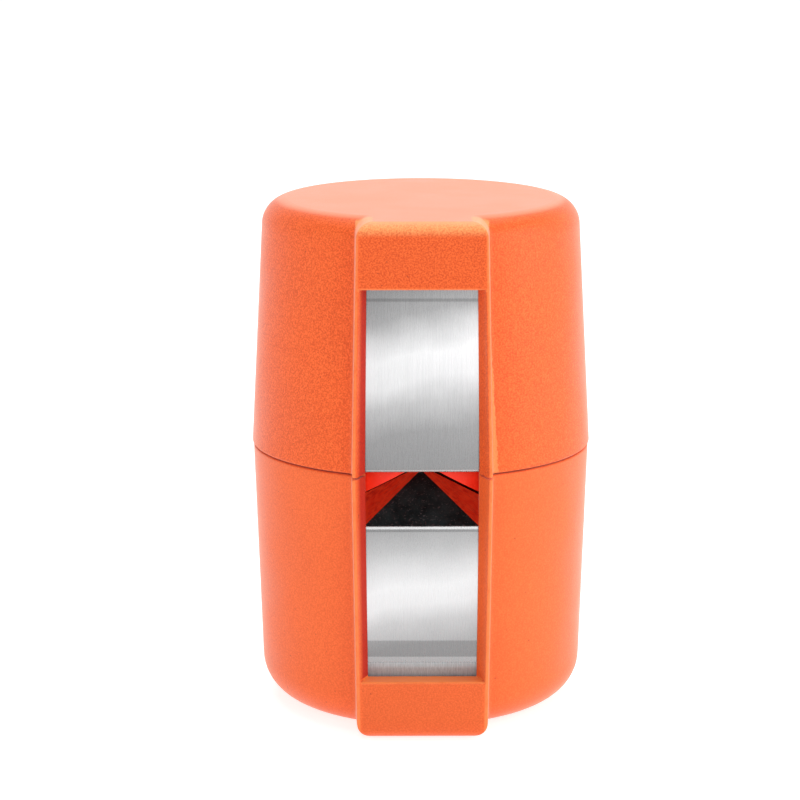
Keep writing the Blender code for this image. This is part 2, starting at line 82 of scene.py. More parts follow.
RIM_WIDTH = 0.55 * MM
WINDOW_HALF_END = 8.75 * MM
WINDOW_HALF_PARTING = 9.2 * MM
WINDOW_END = {"upper_shell": 74.35 * MM, "lower_shell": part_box("lower_shutter")[0].z}
LEDGE_ROUND = 0.4 * MM
SLOT_HALF = 10.0 * MM
SLOT_FRONT = -25.95 * MM
SLOT_BACK = -24.55 * MM
SLOT_END = {"upper_shell": 82.4 * MM, "lower_shell": WINDOW_END["lower_shell"] - 0.6 * MM}
THROUGH_END = {"upper_shell": 57.0 * MM, "lower_shell": 34.0 * MM}

# Inside
NOTCH_HALF = 9.3 * MM
NOTCH_SHOULDER_Z = 40.0 * MM
NOTCH_NECK = (2.5 * MM, 43.9 * MM)
NOTCH_APEX_Z = 44.8 * MM
GROOVE_RADIUS = 22.4 * MM
RING_INNER = 21.6 * MM
RING_SCREW_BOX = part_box("ring_screw_left")
RING_SCREW_Z = (RING_SCREW_BOX[0].z + RING_SCREW_BOX[1].z) / 2
FLANGE_HIGH = POINT_BOX[0].z + 6.0 * MM
POINT_HALF_X = 14.0 * MM
POINT_HALF_Y = 17.5 * MM
RIDGE_HALF_X = 0.4 * MM
RIDGE_HALF_Y = 3.5 * MM
POINT_SCREW_UP_SLOPE = 2.4 * MM
POST_SPOTS = [(sx * 18.3 * MM, sy * 6.0 * MM) for sx in (-1, 1) for sy in (-1, 1)]
FUNNEL_MOUTH = 21.4 * MM
FUNNEL_THROAT = 4.0 * MM
FUNNEL_BLADE_RADII = (5.3 * MM, 18.2 * MM)
FUNNEL_BLADE_THICK = 2.0 * MM
FUNNEL_SCREW_SEAT = FUNNEL_BOX[1].z - 4.0 * MM
FUNNEL_REACH = 12.0 * MM * math.sqrt(0.5)
FUNNEL_SPOTS = [(sx * FUNNEL_REACH, sy * FUNNEL_REACH) for sx in (-1, 1) for sy in (-1, 1)]
FUNNEL_POST, FUNNEL_PILOT_DEEP = 3.0 * MM, 7.0 * MM
POINT_POST, POINT_PILOT_DEEP = 4.2 * MM, 9.7 * MM
SCREW_HEAD, SCREW_HEAD_TALL, SCREW_SHANK = 2.2 * MM, 1.7 * MM, 1.2 * MM
SMALL_HEAD, SMALL_HEAD_TALL, SMALL_SHANK = 1.8 * MM, 1.1 * MM, 1.0 * MM
BLADE_HEAD, BLADE_SHANK = 1.5 * MM, 0.9 * MM
BLADE_EASE = 0.12 * MM

# Shutters
PLATE_THICK = 0.6 * MM
PLATE_DISH = 0.05 * MM
PLATE_EASE = 0.08 * MM

ROUND_STEPS = 144
SHARP_ANGLE = math.radians(32)
EASE_ANGLE = math.radians(28)
QUARTER = math.pi / 2
WHITE = (1.0, 1.0, 1.0)


# ---------------------------------------------------------------- meshes

def shares(count, first=0):
    """Even shares from first / count up to 1."""
    return [step / count for step in range(first, count + 1)]


def add_mesh(name, mesh):
    obj = bpy.data.objects.new(name, mesh)
    bpy.context.scene.collection.objects.link(obj)
    return obj


def mesh_from(bm, name):
    mesh = bpy.data.meshes.new(name)
    bm.to_mesh(mesh)
    bm.free()
    return mesh


def turned(name, profile, closed=False, steps=ROUND_STEPS):
    """Turn a profile of (radius, z) points, which runs down its outer side, about Z."""
    bm = bmesh.new()
    verts = [bm.verts.new((radius, 0.0, z)) for radius, z in profile]
    for first, second in zip(verts, verts[1:]):
        bm.edges.new((first, second))
    if closed:
        bm.edges.new((verts[-1], verts[0]))
    obj = add_mesh(name, mesh_from(bm, name))
    screw = obj.modifiers.new("turn", "SCREW")
    screw.steps = screw.render_steps = steps
    screw.use_merge_vertices = True
    screw.merge_threshold = 0.00001
    return obj


def box(name, low, high):
    bm = bmesh.new()
    bmesh.ops.create_cube(bm, size=1.0)
    low, high = Vector(low), Vector(high)
    bmesh.ops.scale(bm, vec=high - low, verts=bm.verts)
    bmesh.ops.translate(bm, vec=(low + high) / 2, verts=bm.verts)
    return add_mesh(name, mesh_from(bm, name))


def rod(name, radius, low, high, spot=(0.0, 0.0), steps=40):
    bm = bmesh.new()
    middle = Matrix.Translation((*spot, (low + high) / 2))
    bmesh.ops.create_cone(bm, cap_ends=True, segments=steps, radius1=radius,
                          radius2=radius, depth=high - low, matrix=middle)
    return add_mesh(name, mesh_from(bm, name))


def prism(name, outline, y_low, y_high):
    """An outline of (x, z) points, extruded along Y."""
    bm = bmesh.new()
    face = bm.faces.new([bm.verts.new((x, y_low, z)) for x, z in outline])
    grown = bmesh.ops.extrude_face_region(bm, geom=[face])
    moved = [g for g in grown["geom"] if isinstance(g, bmesh.types.BMVert)]
    bmesh.ops.translate(bm, vec=(0.0, y_high - y_low, 0.0), verts=moved)
    bmesh.ops.recalc_face_normals(bm, faces=bm.faces)
    return add_mesh(name, mesh_from(bm, name))


def baked(obj):
    """The object with its modifiers applied to its mesh."""
    depsgraph = bpy.context.evaluated_depsgraph_get()
    mesh = bpy.data.meshes.new_from_object(obj.evaluated_get(depsgraph))
    mesh.transform(obj.matrix_world)
    obj.modifiers.clear()
    obj.matrix_world = Matrix.Identity(4)
    obj.data = mesh
    return obj


def boolean(obj, tools, operation="DIFFERENCE"):
    """Cut the tools from obj, or join them to it, and remove them."""
    for tool in tools:
        modifier = obj.modifiers.new(tool.name, "BOOLEAN")
        modifier.operation = operation
        modifier.solver = "EXACT"
        modifier.object = tool
    baked(obj)
    for tool in tools:
        bpy.data.objects.remove(tool, do_unlink=True)
    return obj


def eased(obj, width):
    """Round the sharp edges over by a small width."""
    bevel = obj.modifiers.new("ease", "BEVEL")
    bevel.width = width
    bevel.segments = 2
    bevel.limit_method = "ANGLE"
    bevel.angle_limit = EASE_ANGLE
    return baked(obj)


def keep_flat(mesh):
    """Sharpen the edges of every many-sided face, so that round neighbours leave it flat."""
    bm = bmesh.new()
    bm.from_mesh(mesh)
    for face in bm.faces:
        if len(face.verts) > 8:
            for edge in face.edges:
                edge.smooth = False
    bm.to_mesh(mesh)
    bm.free()


def dress(obj, body, slot, material, *nodes):
    """Shade a piece, give it its material, and put it in place of its CAD nodes."""
    obj.data.materials.clear()
    obj.data.materials.append(material)
    obj.data.shade_smooth()
    obj.data.set_sharp_from_angle(angle=SHARP_ANGLE)
    keep_flat(obj.data)
    normals = obj.modifiers.new("normals", "WEIGHTED_NORMAL")
    normals.keep_sharp = True
    baked(obj)
    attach(obj, body)
    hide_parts(*nodes)


# ---------------------------------------------------------------- materials

class Nodes:
    """A small builder for a Principled material's node tree."""

    def __init__(self, name, roughness=0.5, metallic=0.0):
        self.material = bpy.data.materials.new(name)
        self.material.use_nodes = True
        self.tree = self.material.node_tree
        self.shader = self.tree.nodes["Principled BSDF"]
        self.shader.inputs["Roughness"].default_value = roughness
        self.shader.inputs["Metallic"].default_value = metallic
        self.coords = self.tree.nodes.new("ShaderNodeTexCoord").outputs["Object"]

    def link(self, source, target):
        self.tree.links.new(source, target)

    def scaled(self, scale):
        node = self.tree.nodes.new("ShaderNodeMapping")
        node.inputs["Scale"].default_value = scale
        self.link(self.coords, node.inputs["Vector"])
        return node.outputs["Vector"]

    def noise(self, scale, detail=2.0, rough=0.5, stretch=(1, 1, 1)):
        node = self.tree.nodes.new("ShaderNodeTexNoise")
        node.inputs["Scale"].default_value = scale
        node.inputs["Detail"].default_value = detail
        node.inputs["Roughness"].default_value = rough
        self.link(self.scaled(stretch), node.inputs["Vector"])
        return node.outputs["Fac"]

    def axis(self, name):
        node = self.tree.nodes.new("ShaderNodeSeparateXYZ")
        self.link(self.coords, node.inputs[0])
        return node.outputs[name]

    def math(self, operation, first, second=0.0, third=0.0):
        node = self.tree.nodes.new("ShaderNodeMath")
        node.operation = operation
        for index, value in enumerate((first, second, third)):
            if isinstance(value, (int, float)):
                node.inputs[index].default_value = value
            else:
                self.link(value, node.inputs[index])
        return node.outputs[0]

    def both(self, mask, *others):
        """The masks multiplied: 1 only where all of them are 1."""
        for other in others:
            mask = self.math("MULTIPLY", mask, other)
        return mask

    def band(self, value, low, high, to_low=0.0, to_high=1.0, smooth=True):
        node = self.tree.nodes.new("ShaderNodeMapRange")
        node.interpolation_type = "SMOOTHSTEP" if smooth else "LINEAR"
        node.inputs["From Min"].default_value = low
        node.inputs["From Max"].default_value = high
        node.inputs["To Min"].default_value = to_low
        node.inputs["To Max"].default_value = to_high
        self.link(value, node.inputs["Value"])
        return node.outputs["Result"]

    def fade(self, value, low, high):
        """A falling band: 1 up to low, 0 from high on."""
        return self.band(value, low, high, 1.0, 0.0)

    def ramp(self, factor, stops):
        node = self.tree.nodes.new("ShaderNodeValToRGB")
        elements = node.color_ramp.elements
        while len(elements) < len(stops):
            elements.new(0.5)
        for element, (place, colour) in zip(elements, stops):
            element.position = place
            element.color = (*colour, 1.0)
        self.link(factor, node.inputs["Fac"])
        return node.outputs["Color"]

    def mix(self, factor, first, second, blend="MIX"):
        node = self.tree.nodes.new("ShaderNodeMix")
        node.data_type = "RGBA"
        node.blend_type = blend
        if isinstance(factor, (int, float)):
            node.inputs["Factor"].default_value = factor
        else:
            self.link(factor, node.inputs["Factor"])
        for socket, value in ((node.inputs[6], first), (node.inputs[7], second)):
            if isinstance(value, tuple):
                socket.default_value = (*value, 1.0)
            else:
                self.link(value, socket)
        return node.outputs[2]

    def times(self, first, second):
        return self.mix(1.0, first, second, "MULTIPLY")

    def bump(self, heights):
        """Stack (height, strength, distance) bumps on the shader's normal."""
        normal = None
        for height, strength, distance in heights:
            node = self.tree.nodes.new("ShaderNodeBump")
            node.inputs["Strength"].default_value = strength
            node.inputs["Distance"].default_value = distance
            self.link(height, node.inputs["Height"])
            if normal is not None:
                self.link(normal, node.inputs["Normal"])
            normal = node.outputs["Normal"]
        self.link(normal, self.shader.inputs["Normal"])


class RibMasks:
    """Masks on the shells, worked out from where a point lies beside, behind and along the rib."""

    def __init__(self, made):
        self.made = made
        self.across, self.depth, self.height = made.axis("X"), made.axis("Y"), made.axis("Z")
        self.aside = made.math("ABSOLUTE", self.across)
        off_seam = made.math("ABSOLUTE", made.math("SUBTRACT", self.height, PARTING_Z))
        mean_end = (RIB_HALF_END["upper_shell"] + RIB_HALF_END["lower_shell"]) / 2
        slope = (mean_end - RIB_HALF_PARTING) / PARTING_Z
        self.edge = made.math("MULTIPLY_ADD", off_seam, slope, RIB_HALF_PARTING)
        self.within = made.math("SUBTRACT", self.edge, self.aside)

    def near_front(self, full, none):
        """1 up to the depth full behind the rib's front, 0 from the depth none on."""
        return self.made.fade(self.depth, RIB_FRONT + full, RIB_FRONT + none)

    def behind_front(self, none, full):
        """0 up to the depth none behind the rib's front, 1 from the depth full on."""
        return self.made.band(self.depth, RIB_FRONT + none, RIB_FRONT + full)

    def around(self, value, middle, full, none):
        """1 up to full from the value's middle, 0 from none on."""
        away = self.made.math("ABSOLUTE", self.made.math("SUBTRACT", value, middle))
        return self.made.fade(away, full, none)

    def wear_and_highlight(self):
        """The rib's long front edges and the sills at the window's two ends, for pale lines that
        are partly wear and partly painted highlight.
        """
        edges = self.made.both(self.around(self.within, 0.15 * MM, 0.15 * MM, 0.5 * MM),
                               self.near_front(0.3 * MM, 1.6 * MM))
        for end in WINDOW_END.values():
            sill = self.made.both(self.around(self.height, end, 0.1 * MM, 0.45 * MM),
                                  self.near_front(0.2 * MM, 0.6 * MM))
            edges = self.made.math("MAXIMUM", edges, sill)
        return edges

    def wall(self):
        """The window's two side walls, between its sills and in front of the plates, where painted
        shade goes.
        """
        low, high = WINDOW_END["lower_shell"], WINDOW_END["upper_shell"]
        return self.made.both(self.behind_front(0.1 * MM, 1.8 * MM),
                              self.made.band(self.within, 0.35 * MM, 0.6 * MM),
                              self.made.band(self.height, low + 0.1 * MM, low + 0.4 * MM),
                              self.made.fade(self.height, high - 0.3 * MM, high),
                              self.near_front(3.7 * MM, 4.0 * MM),
                              self.made.band(self.aside, 8.3 * MM, 8.6 * MM))

    def root_highlight(self):
        """A ragged painted highlight along the rib's right root, where its side catches the light;
        it tapers off above the parting line.
        """
        ragged = self.made.band(self.made.noise(900, 3, 0.6), 0.35, 0.65, -0.15 * MM, 0.15 * MM,
                                smooth=False)
        reach = self.made.band(self.height, PARTING_Z, PARTING_Z + 24 * MM, 1.1 * MM, 0.1 * MM,
                               smooth=False)
        outward = self.made.math("SUBTRACT", self.across, self.edge)
        left_over = self.made.math("SUBTRACT", self.made.math("ADD", reach, ragged), outward)
        return self.made.both(self.made.band(left_over, 0.0, 0.12 * MM),
                              self.made.band(outward, 0.05 * MM, 0.25 * MM),
                              self.made.band(self.height, PARTING_Z - 0.1 * MM, PARTING_Z),
                              self.near_front(9.2 * MM, 11.2 * MM))

    def face(self):
        """The rib's flat front, up to its rubbed edges, which gets a little painted shade."""
        return self.made.both(self.near_front(0.3 * MM, 0.7 * MM),
                              self.made.band(self.within, 0.4 * MM, 1.2 * MM))

    def brow_highlight(self):
        """The rounding over the rib's top, at its front and its sides, where a painted highlight
        goes.
        """
        outer = self.made.math("MAXIMUM", self.near_front(2.0 * MM, 2.6 * MM),
                               self.made.band(self.aside, 7.6 * MM, 8.1 * MM))
        start = HEIGHT - RIB_ROUND["upper_shell"]
        return self.made.both(outer, self.made.band(self.height, start, HEIGHT - 0.8 * MM),
                              self.made.fade(self.aside, 10.5 * MM, 10.8 * MM),
                              self.near_front(6.7 * MM, 7.7 * MM))

    def top(self):
        """The flat disc at the barrel's top, which gets a painted reflection."""
        return self.made.band(self.height, HEIGHT - 0.6 * MM, HEIGHT - 0.05 * MM)

    def ledge(self):
        """The ledge under the lower plate, which gets painted light against its shade."""
        level = WINDOW_END["lower_shell"] + 0.05 * MM
        return self.made.both(self.around(self.height, level, 0.1 * MM, 0.2 * MM),
                              self.behind_front(0.0, 0.3 * MM),
                              self.made.fade(self.aside, 9.5 * MM, 9.9 * MM),
                              self.near_front(4.0 * MM, 4.7 * MM))


def orange_plastic():
    """Spark-eroded orange plastic: a speckled grain, finer on the lower half, with wear on the
    rib's edges,
    and painted light: painted highlights and a painted reflection on the rib and the top, painted
    light on the ledge, and painted shade on the rib's front and the window's walls."""
    made = Nodes("orange_plastic")
    rib = RibMasks(made)
    patches = made.noise(90, 3)
    grain = made.noise(3600, 3, 0.6)
    colour = made.ramp(grain, [(0.38, (0.66, 0.078, 0.012)), (0.5, (0.79, 0.110, 0.018)),
                               (0.63, (0.91, 0.155, 0.032))])
    finer = made.band(made.axis("Z"), PARTING_Z - 0.1 * MM, PARTING_Z, 0.45, 0.0)
    colour = made.mix(finer, colour, (0.81, 0.150, 0.040))
    colour = made.times(colour, made.ramp(patches, [(0.3, (0.95, 0.93, 0.92)), (0.7, WHITE)]))
    pits = made.band(made.noise(1500, 1, 0.4), 0.775, 0.80)
    colour = made.mix(made.both(pits, 0.7), colour, (0.36, 0.045, 0.015))
    # Painted reflection: the top disc is mixed towards pale pink, for the white studio it reflects
    # at a grazing angle.
    colour = made.mix(made.both(rib.top(), 0.85), colour, (0.92, 0.27, 0.15))
    # Painted light: the ledge under the lower plate is lifted to a brighter orange, against the
    # shade it sits in.
    colour = made.mix(made.both(rib.ledge(), 0.9), colour, (0.98, 0.24, 0.035))
    # Painted shade: the rib's flat front is darkened a little.
    colour = made.mix(rib.face(), colour, made.times(colour, (0.90, 0.89, 0.88)))
    # Painted highlight on the rib's top rounding, where it catches the overhead light.
    brow_highlight = made.both(rib.brow_highlight(), made.band(grain, 0.38, 0.6, 0.5, 0.95))
    colour = made.mix(brow_highlight, colour, (0.92, 0.36, 0.13))
    # Pale lines along the rib's edges and the sills: partly wear, partly painted highlight.
    wear_and_highlight = made.both(rib.wear_and_highlight(), made.band(made.noise(420, 4, 0.7), 0.25, 0.6, 0.45, 1.0))
    colour = made.mix(made.both(wear_and_highlight, 0.5), colour, (0.95, 0.28, 0.085))
    # Painted shade on the window's side walls: dark red on the left wall, a milder darkening on the
    # right.
    wall = rib.wall()
    left = made.fade(made.axis("X"), -1 * MM, 1 * MM)
    wall_shade = made.mix(left, (1.0, 0.85, 0.45), (0.60, 0.12, 0.06))
    colour = made.mix(wall, colour, made.times(colour, wall_shade))
    # Painted highlight: a pale ragged line on the rib's right root.
    colour = made.mix(made.both(rib.root_highlight(), 0.4), colour, (0.97, 0.36, 0.11))
    made.link(colour, made.shader.inputs["Base Color"])
    rough = made.band(patches, 0.3, 0.7, 0.40, 0.50)
    rough = made.math("SUBTRACT", rough, made.both(wear_and_highlight, 0.08))
    made.link(made.math("MULTIPLY_ADD", wall, 0.4, rough), made.shader.inputs["Roughness"])
    made.bump([(grain, 0.32, 0.07 * MM), (made.noise(700, 2), 0.12, 0.1 * MM)])
    made.shader.inputs["Specular IOR Level"].default_value = 0.2
    made.shader.inputs["Sheen Weight"].default_value = 0.42
    made.shader.inputs["Sheen Roughness"].default_value = 0.30
    made.shader.inputs["Sheen Tint"].default_value = (1.0, 0.80, 0.72, 1.0)
    made.shader.inputs["Subsurface Weight"].default_value = 0.05
    made.shader.inputs["Subsurface Radius"].default_value = (1.0, 0.35, 0.2)
    made.shader.inputs["Subsurface Scale"].default_value = 1.0 * MM
    return made.material


def red_plastic(name, dark, light, speck, painted_glow):
    """Moulded red plastic. Its emission is painted light: it stands for the light that comes
    through thin red walls, and lifts the parts that sit in shade.
    """
    made = Nodes(name)
    patches = made.noise(260, 4, 0.6)
    base = made.ramp(patches, [(0.3, dark), (0.7, light)])
    specks = made.band(made.noise(3200, 2, 0.6), 0.58, 0.70)
    made.link(made.mix(made.both(specks, 0.4), base, speck), made.shader.inputs["Base Color"])
    made.link(made.band(patches, 0.3, 0.7, 0.36, 0.5), made.shader.inputs["Roughness"])
    made.bump([(made.noise(1800, 2), 0.3, 0.05 * MM)])
    made.shader.inputs["Specular IOR Level"].default_value = 0.3
    glow_colour = made.ramp(made.noise(1100, 4, 0.7), [(0.42, (0.50, 0.015, 0.008)),
                                                   (0.58, (1.0, 0.075, 0.022))])
    made.link(glow_colour, made.shader.inputs["Emission Color"])
    made.shader.inputs["Emission Strength"].default_value = painted_glow
    return made.material


def greys(stops, blue=1.0):
    """Stops for a grey ramp, from pairs of a place and a brightness."""
    return [(place, (grey, grey, grey * blue)) for place, grey in stops]


def brushed_steel(name, node, brushing, highlight_sweep, reflection_bands, end_glints, dull, left):
    """Spring steel brushed along Z. Its base colour holds painted reflections: a bright painted
    highlight that sweeps over the plate on a slight slant, dark painted reflections in stripes near
    its bent ends, and painted glints at its ends: these three are stops of brightness from the
    plate's low end to its high end. Up to the share dull of its length it is matte and less
    metallic, with a cooler tint.
    brushing is how dark its lines are, and left is the painted shade at its left edge."""
    made = Nodes(name, metallic=1.0)
    low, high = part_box(node)
    fine = made.noise(16000, 2, 0.7, stretch=(1, 1, 0.006))
    coarse = made.noise(5200, 3, 0.6, stretch=(1, 1, 0.012))
    streak = made.math("ADD", made.both(fine, 0.55), made.both(coarse, 0.45))
    along = made.band(made.axis("Z"), low.z, high.z, smooth=False)
    across = made.band(made.axis("X"), -high.x, high.x, smooth=False)
    slant = made.both(made.axis("X"), -0.06 / high.x)
    cloudy = made.band(made.noise(110, 2, 0.5), 0.3, 0.7, -0.03, 0.03, smooth=False)
    slanted = made.math("ADD", made.math("ADD", along, slant), cloudy)
    # Painted reflections: a highlight that sweeps over the plate, dark reflected stripes near its
    # ends, glints at its ends, and shade towards its left edge.
    tone = made.ramp(slanted, greys(highlight_sweep, blue=1.01))
    tone = made.times(tone, made.ramp(along, greys(reflection_bands)))
    tone = made.mix(1.0, tone, made.ramp(along, greys(end_glints)), "LIGHTEN")
    tone = made.times(tone, made.ramp(across, greys([(0.0, left), (1.0, 1.0)])))
    bare = made.band(along, dull, dull + 0.01)
    tone = made.times(tone, made.ramp(bare, [(0.0, (0.88, 1.0, 1.04)), (1.0, WHITE)]))
    lines = made.ramp(streak, greys([(0.36, 1.0 - brushing), (0.62, 1.0)]))
    made.link(made.times(tone, lines), made.shader.inputs["Base Color"])
    made.link(made.math("MULTIPLY_ADD", bare, 0.85, 0.15), made.shader.inputs["Metallic"])
    made.link(made.band(streak, 0.3, 0.7, 0.22, 0.32), made.shader.inputs["Roughness"])
    made.shader.inputs["Anisotropic"].default_value = 0.5
    made.bump([(streak, brushing * 0.5, 0.015 * MM)])
    return made.material


# Stops of painted reflection, painted highlight and painted shade for the two plates.
UPPER_STEEL = {
    "brushing": 0.13, "dull": -0.1, "left": 0.82,
    "highlight_sweep": [(0.0, 0.27), (0.20, 0.32), (0.36, 0.51), (0.48, 0.76), (0.62, 0.85),
              (0.72, 0.67), (0.82, 0.42), (1.0, 0.31)],
    "reflection_bands": [(0.0, 1.0), (0.032, 1.0), (0.872, 1.0), (0.877, 0.70), (0.888, 0.70),
              (0.893, 1.0), (1.0, 1.0)],
    "end_glints": [(0.0, 0.50), (0.006, 0.50), (0.010, 0.0)]}
LOWER_STEEL = {
    "brushing": 0.06, "dull": 0.085, "left": 1.0,
    "highlight_sweep": [(0.0, 0.35), (0.22, 0.35), (0.36, 0.46), (0.48, 0.62), (0.60, 0.66),
              (0.72, 0.56), (0.86, 0.42), (1.0, 0.34)],
    "reflection_bands": [(0.0, 0.80), (0.052, 0.80), (0.058, 1.0), (0.125, 1.0), (0.131, 0.66),
              (0.235, 0.68), (0.243, 1.0), (0.962, 1.0), (0.968, 0.66), (0.976, 0.9)],
    "end_glints": [(0.0, 0.42), (0.050, 0.42), (0.056, 0.47), (0.088, 0.45), (0.096, 0.0),
               (0.976, 0.0), (0.981, 0.5), (1.0, 0.5)]}


def black_oxide():
    """Black oxide on the blades: cloudy, flecked with rubbed spots, and painted darker towards the
    tip, as shade under the upper half.
    """
    made = Nodes("black_oxide")
    made.shader.inputs["Specular IOR Level"].default_value = 0.1
    cloud = made.noise(320, 4, 0.65)
    fleck = made.band(made.noise(2600, 3, 0.75), 0.58, 0.66)
    base = made.ramp(cloud, [(0.3, (0.008, 0.023, 0.024)), (0.75, (0.044, 0.092, 0.096))])
    # Painted shade: the blades darken towards the tip.
    tip_shade = made.band(made.axis("Z"), 38.5 * MM, 43.5 * MM, smooth=False)
    base = made.times(base, made.ramp(tip_shade, greys([(0.0, 1.0), (1.0, 0.30)])))
    made.link(made.mix(made.both(fleck, 0.5), base, (0.30, 0.31, 0.33)),
              made.shader.inputs["Base Color"])
    made.link(made.band(cloud, 0.3, 0.7, 0.42, 0.58), made.shader.inputs["Roughness"])
    made.bump([(made.noise(3000, 3, 0.7), 0.3, 0.03 * MM)])
    return made.material


def zinc():
    made = Nodes("zinc", metallic=1.0)
    cloud = made.noise(700, 3, 0.6)
    made.link(made.ramp(cloud, [(0.3, (0.50, 0.50, 0.49)), (0.7, (0.66, 0.66, 0.66))]),
              made.shader.inputs["Base Color"])
    made.link(made.band(cloud, 0.3, 0.7, 0.26, 0.40), made.shader.inputs["Roughness"])
    made.bump([(made.noise(4000, 2), 0.15, 0.02 * MM)])
    return made.material


def rubber():
    made = Nodes("rubber")
    cloud = made.noise(500, 3, 0.6)
    made.link(made.ramp(cloud, [(0.3, (0.012, 0.012, 0.013)), (0.7, (0.03, 0.03, 0.032))]),
              made.shader.inputs["Base Color"])
    made.link(made.band(cloud, 0.3, 0.7, 0.55, 0.7), made.shader.inputs["Roughness"])
    made.bump([(made.noise(3500, 2), 0.25, 0.03 * MM)])
    return made.material


ORANGE = orange_plastic()
# The emission strengths below are painted light, strongest on the point carrier, which sits in
# shade.
BRIGHT_RED = red_plastic("bright_red", dark=(0.84, 0.020, 0.005), light=(0.93, 0.030, 0.008),
                         speck=(0.95, 0.08, 0.03), painted_glow=0.06)
DARK_RED = red_plastic("dark_red", dark=(0.55, 0.020, 0.006), light=(0.85, 0.040, 0.012),
                       speck=(0.10, 0.015, 0.008), painted_glow=0.30)
BLACK = black_oxide()
ZINC = zinc()
RUBBER = rubber()


# ---------------------------------------------------------------- shells

def curve_points(start, control, end, count):
    """Points after start on the curve from start to end that bends towards control."""
    return [start * (1 - share) ** 2 + control * (2 * share * (1 - share)) + end * share ** 2
            for share in shares(count, 1)]


def line_points(start, end, count):
    return [start.lerp(end, share) for share in shares(count, 1)]


def half_outline(radius, front, half, window_half, recess):
    """Right half of a shell's outline at one height, from the front's middle to the back's.

    half is half the rib's width, and recess is the depth of the chip window behind the rib's
    front, 0 where there is none. A straight flank leads from the rib's corner back to where it
    meets the barrel's circle, at its root."""
    depth = SLOT_FRONT - RIB_FRONT
    rim_inside = half - RIM_WIDTH
    if recess:
        floor_half = rim_inside + (window_half - rim_inside) * recess / depth
    else:
        floor_half = rim_inside - FLAT_STEP
    floor = Vector((floor_half, front + recess))
    rim = Vector((rim_inside, front))
    corner = Vector((half, front))
    flank = Vector((RIB_FLARE, 1.0))
    a = flank.dot(flank)
    b = 2 * corner.dot(flank)
    c = corner.dot(corner) - radius ** 2
    reach = (-b - math.sqrt(b * b - 4 * a * c)) / (2 * a)
    root = corner + flank * reach
    flank_unit = flank.normalized()
    root_angle = math.atan2(root.x, -root.y)
    arc_start = root_angle + RIB_ROOT / radius
    arc_point = Vector((math.sin(arc_start), -math.cos(arc_start))) * radius
    points = [Vector((0.0, front + recess))]
    points += line_points(points[-1], floor, 6)
    wall = (rim - floor).normalized()
    points += line_points(points[-1], rim - wall * RIM_INNER, 5)
    points += curve_points(points[-1], rim, rim + Vector((RIM_INNER * 0.6, 0)), 3)
    points += line_points(points[-1], corner - Vector((RIM_OUTER * 0.8, 0)), 1)
    points += curve_points(points[-1], corner, corner + flank_unit * RIM_OUTER, 5)
    points += line_points(points[-1], root - flank_unit * RIB_ROOT * 0.8, 5)
    points += curve_points(points[-1], root, arc_point, 6)
    for share in shares(80, 1):
        angle = arc_start + (math.pi - arc_start) * share
        points.append(Vector((math.sin(angle), -math.cos(angle))) * radius)
    return points


def rounding(distance, radius):
    """How far a rounded edge of that radius has drawn in, at a distance from the end face."""
    if distance >= radius:
        return 0.0
    return radius - math.sqrt(radius ** 2 - (radius - distance) ** 2)


def shell_levels(name):
    """(distance from the end face, inset, window recess) of each outline up a shell."""
    length = HALF_LENGTH[name] - SEAM / 2
    fillet = END_FILLET[name]
    window = abs(WINDOW_END[name] - (HEIGHT if name == "upper_shell" else 0.0))
    floor = SLOT_FRONT - RIB_FRONT + GAP
    levels = [(fillet * (1 - math.cos(QUARTER * share)), 0.0, 0.0) for share in shares(14)]
    plain = window - LEDGE_ROUND - fillet
    levels += [(fillet + plain * share, 0.0, 0.0) for share in shares(3, 1)]
    for share in shares(5, 1):
        levels.append((window - LEDGE_ROUND + LEDGE_ROUND * math.sin(QUARTER * share), 0.0,
                       LEDGE_ROUND * (1 - math.cos(QUARTER * share))))
    start = window + 0.01 * MM
    stop = length - SEAM_ROUND
    levels += [(start + (stop - start) * share, 0.0, floor) for share in shares(22)]
    for share in shares(4, 1):
        levels.append((stop + SEAM_ROUND * math.sin(QUARTER * share),
                       SEAM_ROUND * (1 - math.cos(QUARTER * share)), floor))
    return levels


def shell_body(name):
    """The solid outside of one half: barrel, rib, rounded ends and recessed chip window."""
    upper = name == "upper_shell"
    length = HALF_LENGTH[name] - SEAM / 2
    end_radius, fillet, end_half = END_RADIUS[name], END_FILLET[name], RIB_HALF_END[name]
    bm = bmesh.new()
    rings = []
    for distance, inset, recess in shell_levels(name):
        z = HEIGHT - distance if upper else distance
        side = (distance - fillet) / (length - fillet)
        if side <= 0:
            radius = end_radius - rounding(distance, fillet)
        else:
            radius = end_radius + (BELLY[name] - end_radius) * side
        drawn = rounding(distance, RIB_ROUND[name])
        closeness = distance / HALF_LENGTH[name]
        half = end_half + (RIB_HALF_PARTING - end_half) * closeness
        window_half = WINDOW_HALF_END + (WINDOW_HALF_PARTING - WINDOW_HALF_END) * closeness
        outline = half_outline(radius - inset, RIB_FRONT + drawn + inset, half - drawn - inset,
                               window_half, recess - inset if recess else 0.0)
        left = [Vector((-p.x, p.y)) for p in outline[-2:0:-1]]
        rings.append([bm.verts.new((p.x, p.y, z)) for p in outline + left])
    for first, second in zip(rings, rings[1:]):
        count = len(first)
        for index in range(count):
            after = (index + 1) % count
            bm.faces.new((first[index], first[after], second[after], second[index]))
    bm.faces.new(rings[0])
    bm.faces.new(rings[-1])
    bmesh.ops.recalc_face_normals(bm, faces=bm.faces)
    return add_mesh(name + "_fine", mesh_from(bm, name + "_fine"))


def bore_profile(name):
    """The hollow of a shell, as an outline that runs down its outer side."""
    length = HALF_LENGTH[name]
    shelf = length - MOUTH_DEPTH[name]
    chamfer = 1.5 * MM
    points = [(0.0, END_WALL), (BORE - chamfer, END_WALL), (BORE, END_WALL + chamfer),
              (BORE, shelf), (MOUTH_BORE, shelf), (MOUTH_BORE, length + PAST),
              (0.0, length + PAST)]
    if name == "upper_shell":
        return [(radius, HEIGHT - distance) for radius, distance in points]
    return points[::-1]


